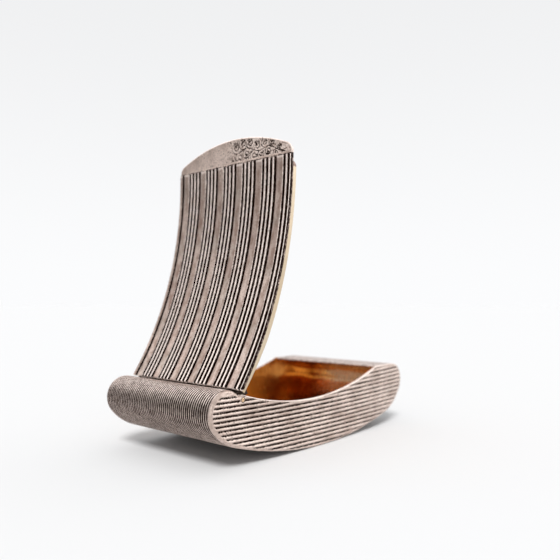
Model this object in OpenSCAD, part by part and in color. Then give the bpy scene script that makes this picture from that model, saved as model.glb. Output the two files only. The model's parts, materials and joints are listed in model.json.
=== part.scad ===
// Curved pocket needle case: a banana-shaped box with a hinged, reeded lid.
// X runs from the round hinge end to the thumb-piece end, Y across the width, Z up.
// The origin is on the resting plane, under the middle of the length and the width.
// The lid is drawn standing open, turned about the hinge pin by lid_open.

/* [Case] */
// Length over both round ends
case_l = 82; // [76:1:90]
// Width over both side walls
case_w = 38; // [34:1:42]
// Height of the two ends above the resting plane
case_h = 18.2; // [17.4:0.1:19]
// Thickness of the silver sheet of the base
sheet = 0.8; // [0.6:0.1:1]
// Radius of the round ends
end_r = 5.2; // [4.8:0.1:5.6]
// Radius that blends each round end into the bottom
blend_r = 14; // [12:1:16]
// Radius of the convex bottom
bottom_r = 117; // [112:1:122]
// How far the lowest line of the bottom lies from mid-length, towards the thumb-piece end
bottom_x = 1.4; // [0:0.2:2]
// Radius of the concave rim of the side walls
rim_r = 90; // [86:1:94]
// Length of the flat land between the opening and the far round end
land_l = 9.4; // [8:0.2:11]

/* [Lid] */
// Angle between the closed lid and the drawn lid
lid_open = 70; // [0:5:90]
// Thickness of the lid sheet under its reeding
lid_sheet = 0.6; // [0.5:0.1:0.8]
// Height of the lid's bands and ribs above that sheet
rib_h = 0.4; // [0.3:0.1:0.5]
// Width of one wide band
band_w = 2.15; // [1.8:0.05:2.4]
// Width of one narrow rib
rib_w = 0.66; // [0.5:0.02:0.7]
// Width of one groove
groove_w = 0.57; // [0.5:0.01:0.65]
// How far the crescent thumb-piece stands out past the reeding
thumb_l = 6; // [4.4:0.2:6.6]
// How far its two side edges run before the crescent's arc begins
thumb_shoulder = 1.7; // [0.5:0.1:2.4]
// Depth of the gilt flanges under the lid
flange_h = 2.4; // [1.5:0.1:2.6]
// Thickness of the flanges
flange_t = 0.6; // [0.5:0.1:0.8]
// Side clearance between a flange and its side wall
flange_gap = 0.1; // [0.05:0.05:0.2]

/* [Hinge] */
// Distance from the round end's outermost line to the pin
pin_back = 10; // [9.6:0.1:10.2]
// Depth of the pin below the top of the ends
pin_drop = 2.6; // [2.5:0.1:2.8]
// Diameter of the pin
pin_d = 1.2; // [1:0.1:1.2]
// Outer diameter of the knuckles
knuckle_d = 2.2; // [2:0.1:2.2]
// Radial running clearance around the pin
pin_gap = 0.03; // [0.02:0.01:0.08]

/* [Hidden] */
$fn = 96;
// Segments on the large arcs
arc_fn = 1440;
silver = [0.72, 0.67, 0.63];
dark_silver = [0.55, 0.5, 0.48];
gilt = [0.85, 0.62, 0.25];
brass = [0.78, 0.6, 0.3];

// Half the width, and the inner faces of the side walls
half_w = case_w / 2;
inner_w = case_w - 2 * sheet;
// Centres of the two round ends and of the bottom arc, as [x, z]
hinge_end = [-case_l / 2 + end_r, case_h - end_r];
far_end = [case_l / 2 - end_r, case_h - end_r];
bottom_c = [bottom_x, bottom_r];
// Centres of the arcs that blend the ends into the bottom
blend_hinge = arcs_meet(hinge_end, blend_r - end_r, bottom_c, bottom_r - blend_r, 1);
blend_far = arcs_meet(far_end, blend_r - end_r, bottom_c, bottom_r - blend_r, -1);
// Degrees that each blend runs on inside the bottom arc, so that the two join
arc_overlap = 12;
// Hinge pin, as [x, z]
pin = [-case_l / 2 + pin_back, case_h - pin_drop];
// The rim rises this far above the pin where it would cross it
rim_over_pin = 1.1;
// Radius of the ear of each side wall around the pin
ear_r = 1.3;
// The land's inner edge, where the opening ends
land_x = far_end[0] - land_l;
// Centre of the rim's arc, through a point over the pin and through the land's edge
rim_c = arc_centre([pin[0], pin[1] + rim_over_pin], [land_x, case_h], rim_r);
// Clearance between the closed lid and the rim, and the inner radius of the lid
seat_gap = 0.06;
lid_r = rim_r - seat_gap;
// The lid sheet starts this far past the pin and ends this far past the land's edge
lid_start = 2.0;
lid_over_land = 0.6;
lid_a0 = arc_angle(pin[0] + lid_start);
lid_a1 = arc_angle(land_x + lid_over_land);
// The flanges stop this far short of the land's edge
flange_short = 0.9;
flange_a1 = arc_angle(land_x - flange_short);
front_a0 = arc_angle(land_x - flange_short - flange_t);
// Channel that the knuckles turn in, and the bars that carry it
channel_r = knuckle_d / 2 + 0.2;
base_bar_r = 2.6;
lid_bar_r = 3.2;
// Angles of the lid's bar around the pin, with the lid closed
lid_bar_a0 = -55;
lid_bar_a1 = 40;
// Angles of the solder pads that join the knuckles to their bars
base_pad_half = 23;
lid_pad_a0 = -50;
lid_pad_a1 = 5;
// Direction from the pin to the round end's centre
cradle_a = dir_angle(hinge_end - pin);
// The wrap stops this many degrees before the line from the round end's centre to the pin
wrap_stop_a = dir_angle(pin - hinge_end) + 15.5;
// Number of knuckles along the pin, their spacing and the gap between two of them
knuckles = 7;
knuckle_pitch = inner_w / knuckles;
knuckle_gap = 0.12;
// Radius of the thumb-piece's edge arc, from its chord and its height above the shoulders
thumb_rise = thumb_l - thumb_shoulder;
thumb_r = (half_w * half_w + thumb_rise * thumb_rise) / (2 * thumb_rise);
// Rib pattern: one band and the ribs and grooves that follow it
ribs_per_group = 3;
rib_pitch = band_w + ribs_per_group * rib_w + (ribs_per_group + 1) * groove_w;
// Plain margin at the far edge of the lid, before its first groove
far_margin = 1.0;

// Point at a distance and an angle from a centre
function polar(c, r, a) = c + r * [cos(a), sin(a)];

// Angle of a direction, from 0 to 360
function dir_angle(v) = (atan2(v[1], v[0]) + 360) % 360;

// Where the circles around a and b meet; side picks one of the two points
function arcs_meet(a, ra, b, rb, side) =
    let (d = norm(b - a), u = (b - a) / d, along = (ra * ra - rb * rb + d * d) / (2 * d))
    a + along * u + side * sqrt(ra * ra - along * along) * [u[1], -u[0]];

// Centre, above the chord, of the arc of radius r through p and q
function arc_centre(p, q, r) =
    let (d = norm(q - p), u = (q - p) / d)
    (p + q) / 2 + sqrt(r * r - d * d / 4) * [-u[1], u[0]];

// Angle around the rim's centre of a point at x on the lid's inner arc
function arc_angle(x) = 270 + asin((x - rim_c[0]) / lid_r);

// Extrudes an [x, z] shape along Y, from y0 to y1
module along_y(y0, y1) {
    translate([0, y1, 0])
        rotate([90, 0, 0])
            linear_extrude(y1 - y0)
                children();
}

// Wedge from a centre, wide enough for a circle of radius r, between two angles
module wedge(c, r, a0, a1) {
    polygon([c, polar(c, 2 * r, a0), polar(c, 2 * r, (a0 + a1) / 2), polar(c, 2 * r, a1)]);
}

// Part of a disc between two angles
module sector(c, r, a0, a1) {
    intersection() {
        translate(c)
            circle(r = r, $fn = arc_fn);
        wedge(c, r, a0, a1);
    }
}

// Part of a ring between two angles
module ring_part(c, r0, r1, a0, a1) {
    difference() {
        sector(c, r1, a0, a1);
        translate(c)
            circle(r = r0, $fn = arc_fn);
    }
}

// Side view of the closed case, each arc drawn in by inset
module profile(inset) {
    translate(hinge_end)
        circle(r = end_r - inset);
    translate(far_end)
        circle(r = end_r - inset);
    intersection() {
        union() {
            sector(blend_hinge, blend_r - inset, dir_angle(hinge_end - blend_hinge),
                dir_angle(blend_hinge - bottom_c) + arc_overlap);
            sector(bottom_c, bottom_r - inset, dir_angle(blend_hinge - bottom_c),
                dir_angle(blend_far - bottom_c));
            sector(blend_far, blend_r - inset, dir_angle(blend_far - bottom_c) - arc_overlap,
                dir_angle(far_end - blend_far));
            translate(hinge_end)
                square([far_end[0] - hinge_end[0], end_r - inset]);
        }
        translate([-case_l, -case_h])
            square([2 * case_l, 2 * case_h - inset]);
    }
}

// Side view of the wrapped strip: hinge end, bottom, far end and land
module wrap_section() {
    difference() {
        profile(0);
        profile(sheet);
        translate(hinge_end)
            square([land_x - hinge_end[0], case_h]);
    }
    ring_part(hinge_end, end_r - sheet, end_r, wrap_stop_a, 90);
}

// Side view of a side wall, with its concave rim and the ear around the pin
module wall_section() {
    difference() {
        union() {
            difference() {
                profile(0);
                intersection() {
                    translate(rim_c)
                        circle(r = rim_r, $fn = arc_fn);
                    translate([pin[0], 0])
                        square([land_x - pin[0], 2 * case_h]);
                }
                translate([hinge_end[0], pin[1]])
                    square([pin[0] - hinge_end[0], case_h]);
            }
            translate(hinge_end)
                circle(r = end_r);
            translate(pin)
                circle(r = ear_r);
        }
        translate(pin)
            circle(r = pin_d / 2 + pin_gap);
    }
}

// Turns closed lid parts about the pin, to where the lid stands
module opened() {
    translate([pin[0], 0, pin[1]])
        rotate([0, -lid_open, 0])
            translate([-pin[0], 0, -pin[1]])
                children();
}

// Side view of a knuckle: the tube and its solder pad, between two angles
module knuckle_section(a0, a1) {
    difference() {
        union() {
            translate(pin)
                circle(d = knuckle_d);
            sector(pin, channel_r, a0, a1);
        }
        translate(pin)
            circle(r = pin_d / 2 + pin_gap);
    }
}

// One knuckle in the given place along the pin; the end ones touch the side walls
module knuckle(place, a0, a1) {
    y0 = -inner_w / 2 + place * knuckle_pitch;
    start_gap = place == 0 ? 0 : knuckle_gap / 2;
    end_gap = place == knuckles - 1 ? 0 : knuckle_gap / 2;
    along_y(y0 + start_gap, y0 + knuckle_pitch - end_gap)
        knuckle_section(a0, a1);
}

// A knuckle of the base, in the given place
module base_knuckle(place) {
    color(dark_silver)
        knuckle(place, cradle_a - base_pad_half, cradle_a + base_pad_half);
}

// A knuckle of the lid, in the given place
module lid_knuckle(place) {
    color(dark_silver)
        opened()
            knuckle(place, lid_pad_a0, lid_pad_a1);
}

// Flange under one side edge of the lid, between two distances across the case
module side_flange(y0, y1) {
    color(gilt)
        opened()
            along_y(y0, y1)
                ring_part(rim_c, lid_r, lid_r + flange_h, lid_a0, flange_a1);
}

module body_wrap() {
    color(dark_silver)
        along_y(-inner_w / 2, inner_w / 2)
            wrap_section();
}

module side_wall_near() {
    color(silver)
        along_y(-half_w, -inner_w / 2)
            wall_section();
}

module side_wall_far() {
    color(silver)
        along_y(inner_w / 2, half_w)
            wall_section();
}

// Bar inside the round end, with the shallow cradle that the base knuckles are soldered to
module base_hinge_bearer() {
    color(dark_silver)
        along_y(-inner_w / 2, inner_w / 2)
            difference() {
                intersection() {
                    translate(hinge_end)
                        circle(r = end_r - sheet);
                    translate(pin)
                        circle(r = base_bar_r);
                }
                translate(pin)
                    circle(r = channel_r);
            }
}

module hinge_pin() {
    color(brass)
        along_y(-half_w, half_w)
            translate(pin)
                circle(d = pin_d);
}

// Raised strips of the lid, as [start, end] from its far edge: the margin, then each band with its ribs
function band_start(k) = far_margin + groove_w + k * rib_pitch;
function rib_start(k, j) = band_start(k) + band_w + groove_w + j * (rib_w + groove_w);
strips = [
    [0, far_margin],
    for (k = [0 : floor(case_w / rib_pitch)]) each [
        [band_start(k), band_start(k) + band_w],
        for (j = [0 : ribs_per_group - 1]) [rib_start(k, j), rib_start(k, j) + rib_w]
    ]
];

// Curved sheet of the lid with its bands and ribs, turned about the rim's centre
module lid_plate() {
    sheet_r = lid_r - lid_sheet;
    top_r = sheet_r - rib_h;
    outline = [
        [lid_r, -half_w],
        for (s = strips)
            if (s[0] < case_w)
                each [
                    [sheet_r, s[0] - half_w],
                    [top_r, s[0] - half_w],
                    [top_r, min(s[1], case_w) - half_w],
                    [sheet_r, min(s[1], case_w) - half_w]
                ],
        [sheet_r, half_w],
        [lid_r, half_w]
    ];
    color(silver)
        opened()
            translate([rim_c[0], 0, rim_c[1]])
                rotate([90, 0, 0])
                    rotate([0, 0, lid_a0])
                        rotate_extrude(angle = lid_a1 - lid_a0, $fn = arc_fn)
                            polygon(outline);
}

// Crescent that carries on the curve of the lid sheet past the reeding
module thumb_piece() {
    tip = polar(rim_c, lid_r, lid_a1);
    reach_a = 6;
    cut_h = 4 * thumb_l;
    color(silver)
        opened()
            intersection() {
                along_y(-half_w, half_w)
                    ring_part(rim_c, lid_r - lid_sheet, lid_r, lid_a1, lid_a1 + reach_a);
                translate([tip[0], 0, tip[1]])
                    rotate([0, 270 - lid_a1, 0])
                        translate([thumb_l - thumb_r, 0, -cut_h / 2])
                            cylinder(r = thumb_r, h = cut_h, $fn = arc_fn);
            }
}

module lid_flange_near() {
    side_flange(-inner_w / 2 + flange_gap, -inner_w / 2 + flange_gap + flange_t);
}

module lid_flange_far() {
    side_flange(inner_w / 2 - flange_gap - flange_t, inner_w / 2 - flange_gap);
}

module lid_flange_front() {
    reach = inner_w / 2 - flange_gap - flange_t;
    color(gilt)
        opened()
            along_y(-reach, reach)
                ring_part(rim_c, lid_r, lid_r + flange_h, front_a0, flange_a1);
}

// Bar under the lid's hinge edge, with the channel that the lid knuckles are soldered to
module lid_hinge_bearer() {
    reach = inner_w / 2 - flange_gap - flange_t;
    color(dark_silver)
        opened()
            along_y(-reach, reach)
                difference() {
                    ring_part(pin, channel_r, lid_bar_r, lid_bar_a0, lid_bar_a1);
                    translate(rim_c)
                        circle(r = lid_r, $fn = arc_fn);
                }
}

body_wrap();
side_wall_near();
side_wall_far();
base_hinge_bearer();
base_knuckle(0);  // base_knuckle_1
base_knuckle(2);  // base_knuckle_2
base_knuckle(4);  // base_knuckle_3
base_knuckle(6);  // base_knuckle_4
hinge_pin();
lid_plate();
thumb_piece();
lid_flange_near();
lid_flange_far();
lid_flange_front();
lid_hinge_bearer();
lid_knuckle(1);  // lid_knuckle_1
lid_knuckle(3);  // lid_knuckle_2
lid_knuckle(5);  // lid_knuckle_3
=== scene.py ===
import json
import math

import bmesh
import bpy
import numpy as np
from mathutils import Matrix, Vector, noise
from mathutils.geometry import delaunay_2d_cdt


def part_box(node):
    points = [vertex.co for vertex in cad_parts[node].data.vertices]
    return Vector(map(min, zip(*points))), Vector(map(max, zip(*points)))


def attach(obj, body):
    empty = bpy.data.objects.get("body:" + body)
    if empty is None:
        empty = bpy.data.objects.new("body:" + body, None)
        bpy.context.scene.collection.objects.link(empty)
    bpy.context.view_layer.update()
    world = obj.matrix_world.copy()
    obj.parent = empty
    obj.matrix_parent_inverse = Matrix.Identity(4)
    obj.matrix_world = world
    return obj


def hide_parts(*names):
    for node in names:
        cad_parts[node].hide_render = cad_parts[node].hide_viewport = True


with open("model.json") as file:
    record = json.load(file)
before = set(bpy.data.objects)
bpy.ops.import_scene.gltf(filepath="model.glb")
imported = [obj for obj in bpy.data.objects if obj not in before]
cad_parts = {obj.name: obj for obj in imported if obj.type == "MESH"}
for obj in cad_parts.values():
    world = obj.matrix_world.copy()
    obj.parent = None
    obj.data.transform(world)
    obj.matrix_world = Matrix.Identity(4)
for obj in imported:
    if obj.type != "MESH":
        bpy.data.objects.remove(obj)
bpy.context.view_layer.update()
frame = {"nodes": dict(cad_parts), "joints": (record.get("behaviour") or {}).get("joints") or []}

# ----------------------------
# Sizes, in millimetres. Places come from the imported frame.
# ----------------------------

MM = 0.001
joint = frame["joints"][0]
wrap_low, wrap_high = [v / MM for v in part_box("body_wrap")]
near_low, near_high = [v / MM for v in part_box("side_wall_near")]

CASE_L = wrap_high.x - wrap_low.x
CASE_H = near_high.z
HALF_W = -near_low.y
SHEET = near_high.y - near_low.y
SEAM_Y = HALF_W - SHEET
PIN = np.array([joint["pos_m"][0], joint["pos_m"][2]]) / MM
LID_OPEN = -joint["range_deg"][0]

# Side view of the case, the same arcs as the CAD
END_R = 5.2
BLEND_R = 14.0
BOTTOM_R = 117.0
BOTTOM_X = 1.4
RIM_R = 90.0
LAND_L = 9.4
RIM_OVER_PIN = 1.1
EAR_R = 1.3
WRAP_STOP = 15.5
SEAT_GAP = 0.06
LID_START = 2.0
LID_OVER_LAND = 0.6
LID_SHEET = 0.6
PIN_R = 0.6

# Rounded edges of the base: their radii, and where along x or below the top each takes over
HINGE_EDGE_NEAR = 0.95
HINGE_EDGE_FAR = 2.2
BOTTOM_EDGE = 0.8
BOTTOM_EDGE_X = (-32, -8)
END_EDGE = 0.5
END_EDGE_X = (20, 34)
LAND_EDGE = 0.3
LAND_EDGE_X = (10, 20)
LAND_EDGE_BELOW = (2.5, 0.3)

# Reeding of the wrapped strip: (place along one pitch, depth), and wear from 0 to 1, where crests facing up
# also get a painted highlight
REED_PITCH = 0.66
REED_DEPTH = 0.2
REED_PROFILE = [(0.0, 1.0), (0.24, 0.97), (0.31, 0.6), (0.37, 0.1), (0.5, 0.0), (0.63, 0.1),
                (0.69, 0.6), (0.76, 0.97)]
BEAD_W = 1.0
BEAD_ROWS = (0.1, 0.22)
FACING_UP = (0.3, 0.9)
WORN_AWAY_LAND = 0.75
WORN_AWAY_HINGE = 0.1
BEAD_WEAR = 0.48
CREST_WEAR = 0.55
# Extra brightness of crests facing up: partly wear, partly a painted highlight of the light from above
CREST_WEAR_AND_SHEEN_TOP = 0.25
LAND_WEAR = 0.42

# Soft swelling of the gilt surface inside the far end
END_FILL = 0.55
END_FILL_Z = 12.2
END_FILL_H = 2.1

# Side walls: rounded rim, and grooves on arcs whose lowest point moves from groove to groove
RIM_ROUND = 0.16
RIM_FADE = (0.12, 0.34)
GROOVE_R = 1150.0
GROOVE_PITCH = 1.13
GROOVE_HALF = 0.37
GROOVE_SLOPE = 0.22
GROOVE_DEPTH = 0.24
GROOVES_ABOVE = 8
GROOVES_BELOW = 10
GROOVE_REF_X = 52
GROOVE_REF_DOWN = 3.7
GROOVE_LOWEST = 36
GROOVE_LOWEST_STEP = 2.4
GROOVE_ROWS = (-GROOVE_PITCH / 2, -0.38, -0.27, -0.16, 0.0, 0.16, 0.27, 0.38)
GROOVE_WAVER = 0.12
PLAIN_EDGE = 0.15
PLAIN_EDGE_HINGE = 0.35
PLAIN_FADE = 0.45
HINGE_FADE_X = (-34, -22)
PIN_SPOT = (PIN_R + 0.02, PIN_R + 0.2)
HOLE_R = PIN_R * 1.05
EAR_POINTS = 14
RIM_POINTS = 90
WALL_STEP = 0.8
WALL_STEP_FINE = 0.35
WALL_FINE_L = 6

# Relief of the lid: (distance from a strip's edge, height, cavity) for a band and for a rib.
# Strips wider than BAND_FROM get a band's sides; those under RIB_UP_TO get bright tops, worn and with a
# painted highlight
RIB_H = 0.4
BAND_W = 2.15
RIB_W = 0.66
GAP_W = 0.57
RIBS_PER_GROUP = 3
FAR_MARGIN = 1.0
BAND_SIDE = [(0.0, 0.25, 1.0), (0.07, 0.55, 0.95), (0.14, 0.72, 0.3), (0.24, 0.84, 0.0), (0.5, 0.94, 0.0)]
RIB_SIDE = [(0.0, 0.3, 1.0), (0.07, 0.68, 0.95), (0.13, 0.88, 0.35), (0.2, 0.97, 0.0)]
BAND_FROM = 1.2
RIB_UP_TO = 0.9
LID_REACH = 0.45
LID_LIP = 0.24
LID_EDGE_R = 0.22
LID_ROWS = 56
BAND_WEAR = 0.33
BAND_EDGE_WEAR = 0.4
# Brightness of rib tops, of the lip and of the strips' ends: wear, with a painted highlight on the rib tops
# and the strips' ends
BRIGHT_WEAR_AND_HIGHLIGHT = 0.9

# Thumb-piece
THUMB_L = 6.0
THUMB_SHOULDER = 1.7
THUMB_LEAN = 0.25
THUMB_ROUND = 0.26
THUMB_COLUMNS = 330
THUMB_ROWS = 38
NEAR_CORNER = 1.7
FAR_CORNER = 1.1
CREASE_W = 0.14
CREASE_DEPTH = 0.12
STEM_END = 3.0
STEM_AT = 0.48
STEM_WAVE = 0.9
STEM_WAVE_H = 0.5
SCROLL_STEP = 1.15
SCROLL_SIZE = 0.24
SCROLL_TURNS = 1.6
DEGREES_PER_RADIAN = 57.3
STROKE_W = 0.14
STROKE_DEPTH = 0.14
DOTS = 1300
DOT_R = 0.12

# Flanges under the lid
FLANGE_H = 2.4
FLANGE_T = 0.6
FLANGE_GAP = 0.1
FLANGE_SHORT = 0.9
FLANGE_START = 0.65
FLANGE_RISE = 14.0
FLANGE_TIP = 1.5
FLANGE_CORNER = 1.1
FLANGE_SOFT = 0.16
FLANGE_TIP_H = 0.4

# Filed end of the pin: (radius, height over the side wall), and the cavity there
PIN_END = [(0.0, -0.1), (0.08, -0.1), (0.13, 0.02), (0.22, 0.05), (0.34, 0.04), (0.43, 0.0),
           (0.47, -0.05), (0.52, -0.06), (0.56, -0.08), (PIN_R, -0.14)]
PIN_DARK = [1.0, 1.0, 0.5, 0.0, 0.0, 0.5, 0.85, 1.0, 1.0, 1.0]
PIN_SIDES = 40


def unit(degrees):
    """Direction at an angle, as an array of [x, z]."""
    a = np.radians(degrees)
    return np.stack([np.cos(a), np.sin(a)], axis=-1)


def direction(v):
    """Angle of a direction, from 0 to 360."""
    return math.degrees(math.atan2(v[1], v[0])) % 360


def arcs_meet(a, ra, b, rb, side):
    """One of the two points where the circles around a and b meet."""
    d = np.linalg.norm(b - a)
    u = (b - a) / d
    along = (ra * ra - rb * rb + d * d) / (2 * d)
    across = math.sqrt(ra * ra - along * along)
    return a + along * u + side * across * np.array([u[1], -u[0]])


def arc_centre(p, q, r):
    """Centre, above the chord, of the arc of radius r through p and q."""
    d = np.linalg.norm(q - p)
    u = (q - p) / d
    return (p + q) / 2 + math.sqrt(r * r - d * d / 4) * np.array([-u[1], u[0]])


def smoothstep(low, high, x):
    """Rises smoothly from 0 at low to 1 at high; low may be the larger of the two."""
    t = np.clip((np.asarray(x, float) - low) / (high - low), 0, 1)
    return t * t * (3 - 2 * t)


HINGE_END = np.array([-CASE_L / 2 + END_R, CASE_H - END_R])
FAR_END = np.array([CASE_L / 2 - END_R, CASE_H - END_R])
BOTTOM_C = np.array([BOTTOM_X, BOTTOM_R])
BLEND_HINGE = arcs_meet(HINGE_END, BLEND_R - END_R, BOTTOM_C, BOTTOM_R - BLEND_R, 1)
BLEND_FAR = arcs_meet(FAR_END, BLEND_R - END_R, BOTTOM_C, BOTTOM_R - BLEND_R, -1)
LAND_X = FAR_END[0] - LAND_L
RIM_C = arc_centre(PIN + [0, RIM_OVER_PIN], np.array([LAND_X, CASE_H]), RIM_R)
LID_R = RIM_R - SEAT_GAP
TURN = 360
SHARP_FROM = 50


def arc_angle(x):
    """Angle around the rim's centre of a point at x on the lid's inner arc."""
    return 270 + math.degrees(math.asin((x - RIM_C[0]) / LID_R))


LID_A0 = arc_angle(PIN[0] + LID_START)
LID_A1 = arc_angle(LAND_X + LID_OVER_LAND)

# ----------------------------
# Meshes
# ----------------------------


def grid_faces(rows, columns, first=0):
    """Quads of a grid of vertices stored row by row."""
    i, j = np.meshgrid(np.arange(rows - 1), np.arange(columns - 1), indexing="ij")
    a = first + (i * columns + j).ravel()
    return np.stack([a, a + 1, a + columns + 1, a + columns], axis=1).tolist()


def opened(points):
    """Turns points of the closed lid about the pin, to where the lid stands."""
    a = math.radians(LID_OPEN)
    x = points[:, 0] - PIN[0]
    z = points[:, 2] - PIN[1]
    out = np.array(points, float)
    out[:, 0] = PIN[0] + x * math.cos(a) - z * math.sin(a)
    out[:, 2] = PIN[1] + x * math.sin(a) + z * math.cos(a)
    return out


def closed_strip(rings, corners):
    """Faces of a closed bar whose cross-sections are stored ring by ring."""
    faces = grid_faces(rings, corners)
    for k in range(rings - 1):
        faces.append([k * corners, (k + 1) * corners, (k + 2) * corners - 1, (k + 1) * corners - 1])
    faces.append(list(range(corners)))
    faces.append([(rings - 1) * corners + j for j in range(corners)])
    return faces


def piece(name, points, faces, body, node, materials, marks, inside=None):
    """Makes a closed mesh that rides on a body and stands for a CAD node.

    marks holds values per vertex for the materials, and inside says per face whether it takes
    the second material.
    """
    mesh = bpy.data.meshes.new(name)
    mesh.from_pydata((np.asarray(points) * MM).tolist(), [], faces)
    for key, values in marks.items():
        layer = mesh.attributes.new(key, "FLOAT", "POINT")
        layer.data.foreach_set("value", np.asarray(values, np.float32))
    for material in materials:
        mesh.materials.append(material)
    if inside is not None:
        mesh.polygons.foreach_set("material_index", np.asarray(inside, np.int32))
    bm = bmesh.new()
    bm.from_mesh(mesh)
    bmesh.ops.recalc_face_normals(bm, faces=bm.faces)
    open_edges = sum(1 for e in bm.edges if not e.is_manifold)
    if open_edges:
        print(f"OPEN {name}: {open_edges} edges")
    bm.to_mesh(mesh)
    bm.free()
    mesh.polygons.foreach_set("use_smooth", [True] * len(mesh.polygons))
    mesh.set_sharp_from_angle(angle=math.radians(SHARP_FROM))
    obj = bpy.data.objects.new(name, mesh)
    bpy.context.scene.collection.objects.link(obj)
    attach(obj, body)
    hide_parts(node)


def edge_radius(x, z, side):
    """Radius of the rounded edge between the wrap and a side wall (side -1 near, 1 far)."""
    hinge = HINGE_EDGE_NEAR if side < 0 else HINGE_EDGE_FAR
    r = hinge + (BOTTOM_EDGE - hinge) * smoothstep(*BOTTOM_EDGE_X, x)
    r = r + (END_EDGE - r) * smoothstep(*END_EDGE_X, x)
    low, high = LAND_EDGE_BELOW
    top = smoothstep(CASE_H - low, CASE_H - high, z) * smoothstep(*LAND_EDGE_X, x)
    return r + (LAND_EDGE - r) * top


def edge_inset(x, z, y):
    """How far the rounded edge lies inside the side view at a distance y from the middle."""
    r = np.where(np.asarray(y) < 0, edge_radius(x, z, -1), edge_radius(x, z, 1))
    past = np.clip(np.abs(y) - (HALF_W - r), 0, r)
    return r - np.sqrt(r * r - past * past)


def side_path(start, step):
    """Points and outward normals along the side view, from an angle on the hinge end to the land's edge.

    step scales the spacing of the points.
    """
    turns = [
        start,
        direction(HINGE_END - BLEND_HINGE),
        direction(BLEND_HINGE - BOTTOM_C),
        direction(BLEND_FAR - BOTTOM_C),
        direction(FAR_END - BLEND_FAR),
        TURN + 90,
    ]
    arcs = [
        (HINGE_END, END_R, turns[0], turns[1], 0.3),
        (BLEND_HINGE, BLEND_R, turns[1], turns[2], 0.6),
        (BOTTOM_C, BOTTOM_R, turns[2], turns[3], 1.6),
        (BLEND_FAR, BLEND_R, turns[3], turns[4], 0.6),
        (FAR_END, END_R, turns[4], turns[5], 0.3),
    ]
    points, normals = [], []
    for centre, r, a0, a1, spacing in arcs:
        n = math.ceil(math.radians(a1 - a0) * r / (spacing * step))
        a = np.linspace(a0, a1, n + 1)[:-1]
        points.append(centre + r * unit(a))
        normals.append(unit(a))
    n = math.ceil(LAND_L / (0.8 * step))
    x = np.linspace(FAR_END[0], LAND_X, n + 1)
    points.append(np.stack([x, np.full(n + 1, CASE_H)], axis=1))
    normals.append(np.tile([0.0, 1.0], (n + 1, 1)))
    return np.concatenate(points), np.concatenate(normals)


def along_y(points, y):
    """[x, z] points placed at y."""
    return np.stack([points[:, 0], np.broadcast_to(y, len(points)), points[:, 1]], axis=1)


def rough(points, size):
    """Smooth noise from -1 to 1 at points, with features of a size in millimetres."""
    return np.array([noise.noise(Vector(p) / size) for p in points])


# ----------------------------
# Materials
# ----------------------------


class Nodes:
    """A node tree under construction, of a material or of the world."""

    def __init__(self, owner):
        owner.use_nodes = True
        self.tree = owner.node_tree
        self.tree.nodes.clear()

    def add(self, kind, inputs=None, **props):
        made = self.tree.nodes.new(kind)
        for key, value in props.items():
            setattr(made, key, value)
        for key, value in (inputs or {}).items():
            if isinstance(value, bpy.types.NodeSocket):
                self.tree.links.new(value, made.inputs[key])
            else:
                made.inputs[key].default_value = value
        return made

    def ramp(self, value, low, high, to_low=0.0, to_high=1.0):
        """Smooth step of a value from one range to another."""
        inputs = {"Value": value, "From Min": low, "From Max": high, "To Min": to_low, "To Max": to_high}
        return self.add("ShaderNodeMapRange", inputs, interpolation_type="SMOOTHSTEP").outputs[0]

    def maths(self, operation, a, b):
        return self.add("ShaderNodeMath", {0: a, 1: b}, operation=operation).outputs[0]

    def output(self, kind, surface):
        self.add(kind, {"Surface": surface.outputs[0]})


class Shader(Nodes):
    """The node tree of a material."""

    def __init__(self, name):
        self.material = bpy.data.materials.new(name)
        super().__init__(self.material)
        self.coords = self.add("ShaderNodeTexCoord").outputs["Object"]

    def mark(self, name):
        """Value of the mesh's vertices."""
        return self.add("ShaderNodeAttribute", attribute_name=name).outputs["Fac"]

    def noise(self, per_metre, detail=3.0, stretch=(1, 1, 1), roughness=0.5):
        """Noise from 0 to 1; stretch scales the object's axes."""
        scaled = self.add("ShaderNodeMapping", {"Vector": self.coords, "Scale": stretch})
        inputs = {"Vector": scaled.outputs[0], "Scale": per_metre, "Detail": detail, "Roughness": roughness}
        return self.add("ShaderNodeTexNoise", inputs).outputs["Fac"]

    def pits(self, per_metre):
        """Distance to the nearest of many scattered points, from 0 at each point."""
        inputs = {"Vector": self.coords, "Scale": per_metre, "Randomness": 1.0}
        return self.add("ShaderNodeTexVoronoi", inputs).outputs["Distance"]

    def mix(self, share, a, b):
        """Mix of two colours."""
        inputs = {"Factor": share, 6: a, 7: b}
        return self.add("ShaderNodeMix", inputs, data_type="RGBA").outputs[2]

    def bump(self, height, depth, strength, normal=None):
        inputs = {"Height": height, "Distance": depth, "Strength": strength}
        if normal is not None:
            inputs["Normal"] = normal
        return self.add("ShaderNodeBump", inputs).outputs["Normal"]

    def finish(self, colour, roughness, normal, metallic=1.0):
        inputs = {"Base Color": colour, "Roughness": roughness, "Normal": normal, "Metallic": metallic}
        self.output("ShaderNodeOutputMaterial", self.add("ShaderNodeBsdfPrincipled", inputs))
        return self.material

    def matt(self, colour):
        self.output("ShaderNodeOutputMaterial", self.add("ShaderNodeBsdfDiffuse", {"Color": colour}))
        return self.material


def rgba(r, g, b):
    return (r, g, b, 1.0)


WORN = rgba(1.0, 0.86, 0.785)
SATIN = rgba(0.60, 0.465, 0.40)
TARNISH = rgba(0.32, 0.215, 0.175)
OXIDE = rgba(0.014, 0.005, 0.003)
FADED = rgba(0.40, 0.335, 0.285)
# The next two colours are painted light inside the case: a saturated amber for warm light bounced about in
# the gilt, and a pale gold for a highlight low in the far end
BOUNCE_AMBER = rgba(0.86, 0.36, 0.05)
PAINTED_HIGHLIGHT_GOLD = rgba(1.0, 0.82, 0.55)

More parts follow.
